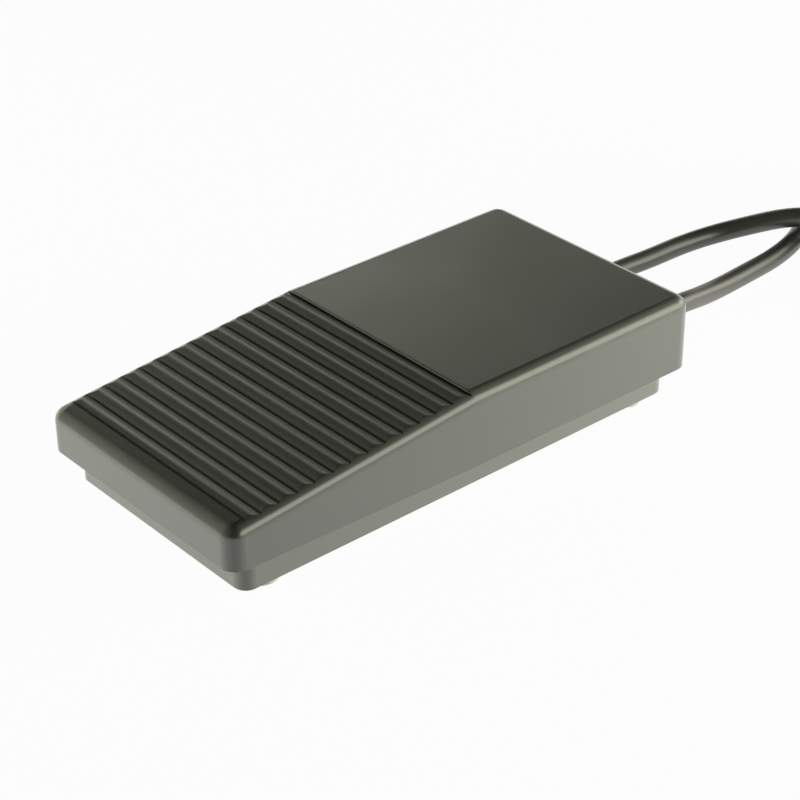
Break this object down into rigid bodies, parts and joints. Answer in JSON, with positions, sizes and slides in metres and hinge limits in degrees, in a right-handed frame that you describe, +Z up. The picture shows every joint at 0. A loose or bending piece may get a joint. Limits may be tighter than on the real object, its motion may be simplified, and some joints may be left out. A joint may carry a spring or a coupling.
{
  "type": "foot switch",
  "caption": "Low black foot switch with a hinged treadle, ribbed sloping toe, flat heel, tray base on pads and a coiled black lead with a stripped end.",
  "frame": {"origin": "on the floor, under the middle of the pedal cover; the lead doesn't count", "axes": "+X to the right seen from the toe, +Y from the toe to the heel where the lead leaves, +Z up"},
  "size_m": [0.1188, 0.3591, 0.031],
  "materials": {
    "cover_plastic": "satin moulded",
    "base_plastic": "satin moulded",
    "foot_pad": "translucent, smooth",
    "pin_steel": "ground",
    "spring_steel": "drawn wire",
    "stop_rubber": "matt",
    "switch_case_plastic": "moulded",
    "switch_lid_plastic": "moulded",
    "plunger_plastic": "moulded",
    "blade_brass": "plated",
    "screw_steel": "zinc plated",
    "clamp_plastic": "moulded",
    "relief_rubber": "satin",
    "cord_pvc": "extruded, glossy",
    "core_brown_pvc": "extruded",
    "core_black_pvc": "extruded",
    "core_grey_pvc": "extruded",
    "ferrule_tin": "tinned"
  },
  "bodies": {
    "base": {"base_tray": "base_plastic", "foot_front_left": "foot_pad", "foot_front_right": "foot_pad", "foot_rear_left": "foot_pad", "foot_rear_right": "foot_pad", "hinge_pin": "pin_steel", "pin_clip_left": "spring_steel", "pin_clip_right": "spring_steel", "return_spring_left": "spring_steel", "return_spring_right": "spring_steel", "bump_stop_left": "stop_rubber", "bump_stop_right": "stop_rubber", "switch_case": "switch_case_plastic", "switch_lid": "switch_lid_plastic", "terminal_common": "blade_brass", "terminal_no": "blade_brass", "terminal_nc": "blade_brass", "switch_screws": "screw_steel", "clamp_screws": "screw_steel", "cord_clamp": "clamp_plastic", "strain_relief": "relief_rubber", "cord_jacket": "cord_pvc", "cord_lead": "cord_pvc", "cord_coil": "cord_pvc", "cord_return": "cord_pvc", "core_brown": "core_brown_pvc", "core_black": "core_black_pvc", "core_grey": "core_grey_pvc", "tail_brown": "core_brown_pvc", "tail_black": "core_black_pvc", "tail_grey": "core_grey_pvc", "wire_ferrules": "ferrule_tin"},
    "pedal": {"pedal_cover": "cover_plastic"},
    "lever": {"switch_lever": "spring_steel"},
    "plunger": {"switch_plunger": "plunger_plastic"}
  },
  "joints": [
    {"name": "pedal_hinge", "type": "hinge", "parent": "base", "child": "pedal", "pos_m": [0, 0.06, 0.015], "axis": [1, 0, 0], "range_deg": [0, 2], "stiffness_Nm_per_rad": 6, "springref_deg": -6.88, "deforming": ["return_spring_left", "return_spring_right"]},
    {"name": "lever_hinge", "type": "hinge", "parent": "base", "child": "lever", "pos_m": [0, 0.0063, 0.02005], "axis": [1, 0, 0], "range_deg": [0, 9]},
    {"name": "plunger_slide", "type": "slide", "parent": "base", "child": "plunger", "axis": [0, 0, -1], "range_m": [0, 0.0008]}
  ],
  "couplings": [
    {"joint": "lever_hinge", "follows": "pedal_hinge", "ratio": 4.4645},
    {"joint": "plunger_slide", "follows": "pedal_hinge", "m_per_rad": 0.02201}
  ]
}
